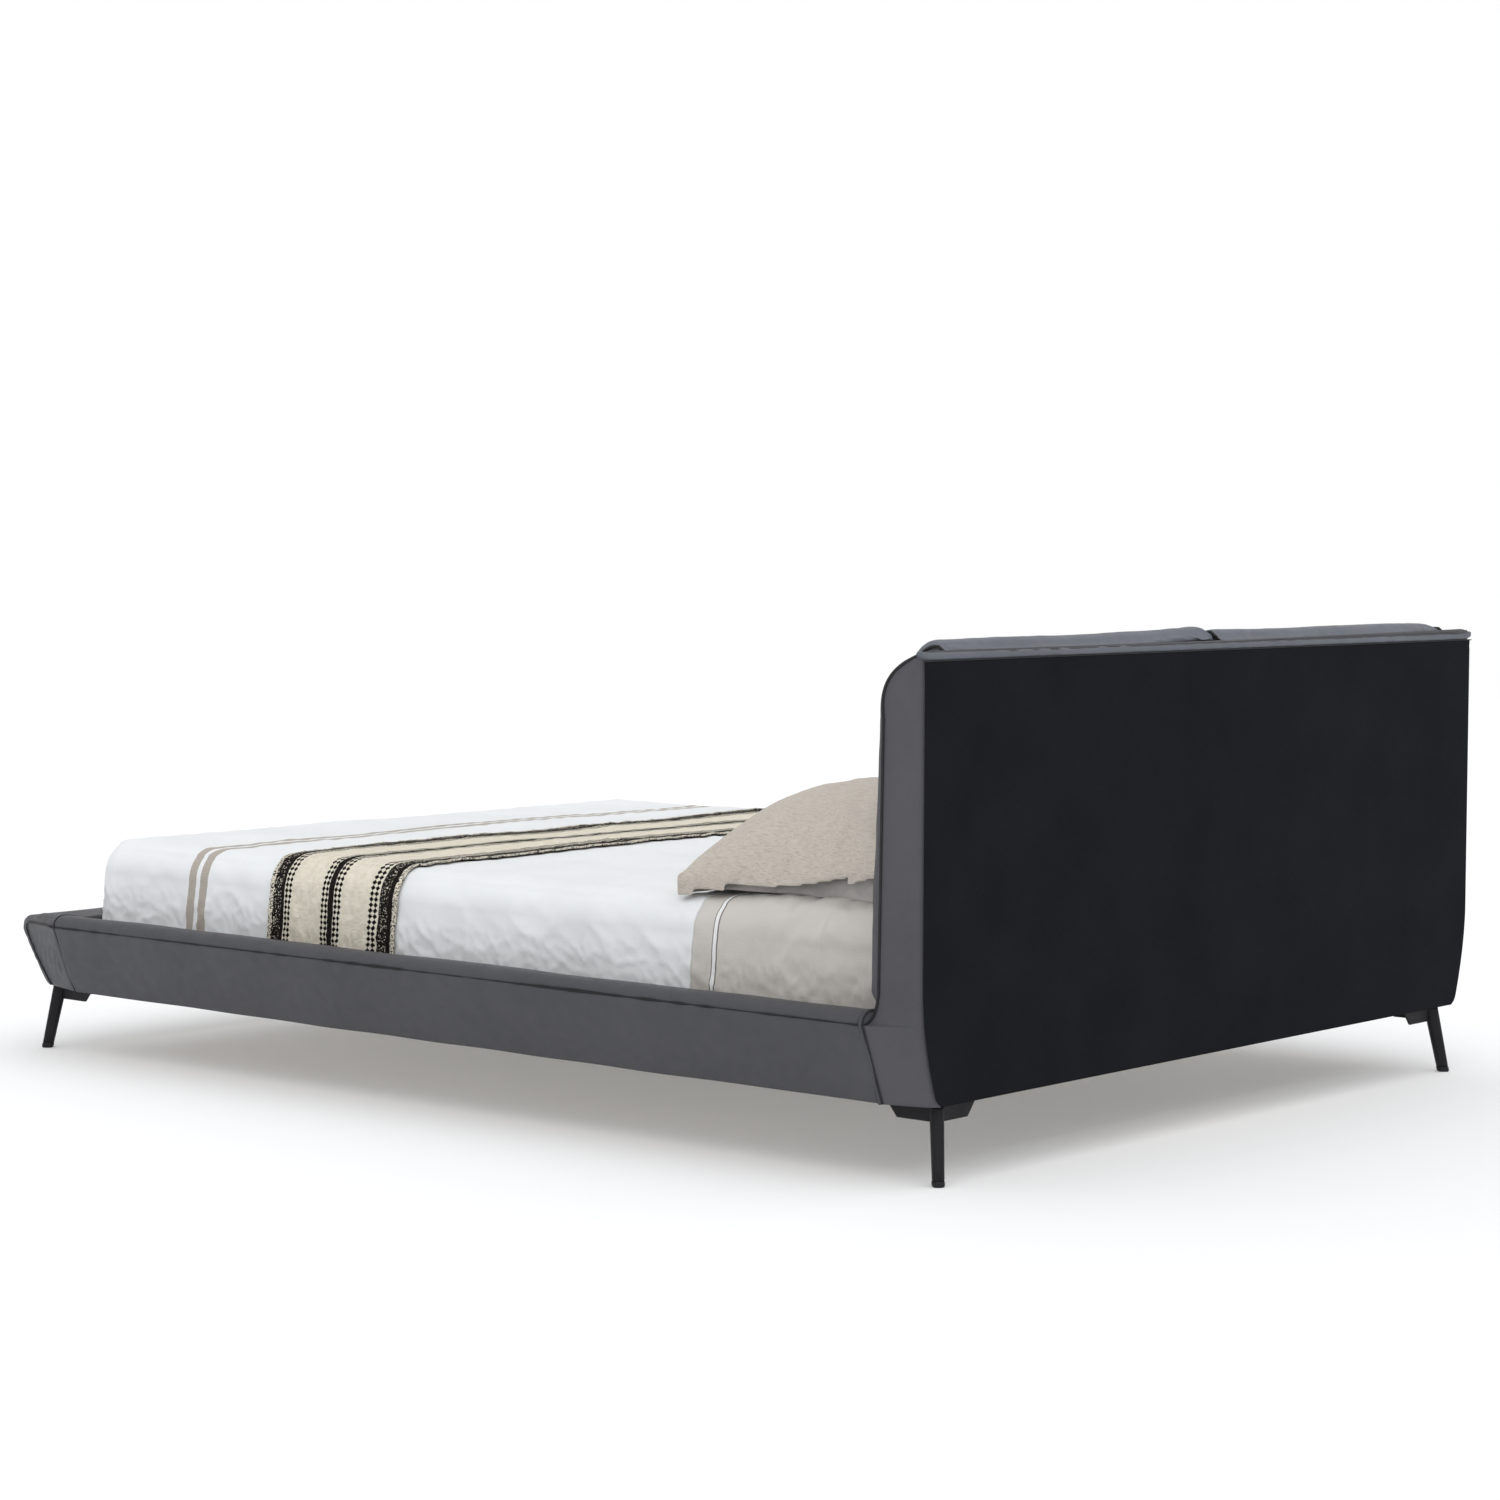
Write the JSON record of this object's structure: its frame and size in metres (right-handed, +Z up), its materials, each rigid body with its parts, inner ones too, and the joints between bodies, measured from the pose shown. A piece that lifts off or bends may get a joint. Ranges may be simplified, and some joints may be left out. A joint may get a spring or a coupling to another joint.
{
  "type": "upholstered platform bed",
  "caption": "Low double bed with outward-leaning padded leather rails, padded headboard with two head cushions, splayed metal legs, slats, mattress, duvet, throw and pillows.",
  "frame": {"origin": "on the floor, under the middle of the bed's overall length and width", "axes": "+Y towards the headboard, +Z up, +X to the right of someone at the foot who faces the headboard"},
  "size_m": [1.782, 2.2974, 0.8674],
  "materials": {
    "leather": "slate grey leather, fine pebble grain, satin, black piping at the seams",
    "back_cloth": "black non-woven dust cloth, matt",
    "plywood": "poplar plywood, unfinished",
    "timber": "planed softwood, unfinished",
    "black_steel": "black powder coat, satin",
    "zinc_steel": "zinc plated pressed steel",
    "glide_plastic": "black nylon glide",
    "ticking": "off-white knitted mattress ticking",
    "white_cotton": "white cotton percale with two beige stripes near the foot",
    "beige_cotton": "warm beige cotton sateen with one white stripe",
    "woven_throw": "heavy cream weave with dark banded pattern across its width",
    "taupe_cotton": "taupe cotton sateen",
    "linen": "coarse slubbed natural linen"
  },
  "bodies": {
    "bed_frame": {"centre_beam": "timber", "centre_beam_hanger_foot": "zinc_steel", "centre_beam_hanger_head": "zinc_steel", "centre_leg_foot": "black_steel", "centre_leg_head": "black_steel", "corner_block_foot_left": "timber", "corner_block_foot_right": "timber", "corner_block_head_left": "timber", "corner_block_head_right": "timber", "foot_corner_left": "leather", "foot_corner_right": "leather", "foot_rail_core": "timber", "foot_rail_cover": "leather", "head_cushion_left": "leather", "head_cushion_right": "leather", "headboard_back_cloth": "back_cloth", "headboard_bottom_rail": "timber", "headboard_cover": "leather", "headboard_plywood": "plywood", "headboard_post_left": "timber", "headboard_post_right": "timber", "headboard_top_rail": "timber", "leg_bracket_foot_left": "black_steel", "leg_bracket_foot_right": "black_steel", "leg_bracket_head_left": "black_steel", "leg_bracket_head_right": "black_steel", "leg_foot_left": "black_steel", "leg_foot_right": "black_steel", "leg_glide_foot_left": "glide_plastic", "leg_glide_foot_right": "glide_plastic", "leg_glide_head_left": "glide_plastic", "leg_glide_head_right": "glide_plastic", "leg_head_left": "black_steel", "leg_head_right": "black_steel", "side_rail_core_left": "timber", "side_rail_core_right": "timber", "side_rail_cover_left": "leather", "side_rail_cover_right": "leather", "slat_01": "timber", "slat_02": "timber", "slat_03": "timber", "slat_04": "timber", "slat_05": "timber", "slat_06": "timber", "slat_07": "timber", "slat_08": "timber", "slat_09": "timber", "slat_10": "timber", "slat_11": "timber", "slat_ledger_left": "timber", "slat_ledger_right": "timber"},
    "mattress_and_duvet": {"mattress": "ticking", "duvet": "white_cotton", "duvet_border": "beige_cotton", "throw": "woven_throw"},
    "lower_pillow_left": {"lower_pillow_left": "taupe_cotton"},
    "upper_pillow_left": {"upper_pillow_left": "linen"},
    "lower_pillow_right": {"lower_pillow_right": "taupe_cotton"},
    "upper_pillow_right": {"upper_pillow_right": "linen"}
  },
  "joints": [
    {"name": "mattress_lift", "type": "slide", "parent": "bed_frame", "child": "mattress_and_duvet", "axis": [0, 0, 1], "range_m": [0, 0.65]},
    {"name": "lower_pillow_left_lift", "type": "slide", "parent": "mattress_and_duvet", "child": "lower_pillow_left", "axis": [0, 0, 1], "range_m": [0, 0.45]},
    {"name": "upper_pillow_left_lift", "type": "slide", "parent": "lower_pillow_left", "child": "upper_pillow_left", "axis": [0, 0, 1], "range_m": [0, 0.45]},
    {"name": "lower_pillow_right_lift", "type": "slide", "parent": "mattress_and_duvet", "child": "lower_pillow_right", "axis": [0, 0, 1], "range_m": [0, 0.45]},
    {"name": "upper_pillow_right_lift", "type": "slide", "parent": "lower_pillow_right", "child": "upper_pillow_right", "axis": [0, 0, 1], "range_m": [0, 0.45]}
  ]
}
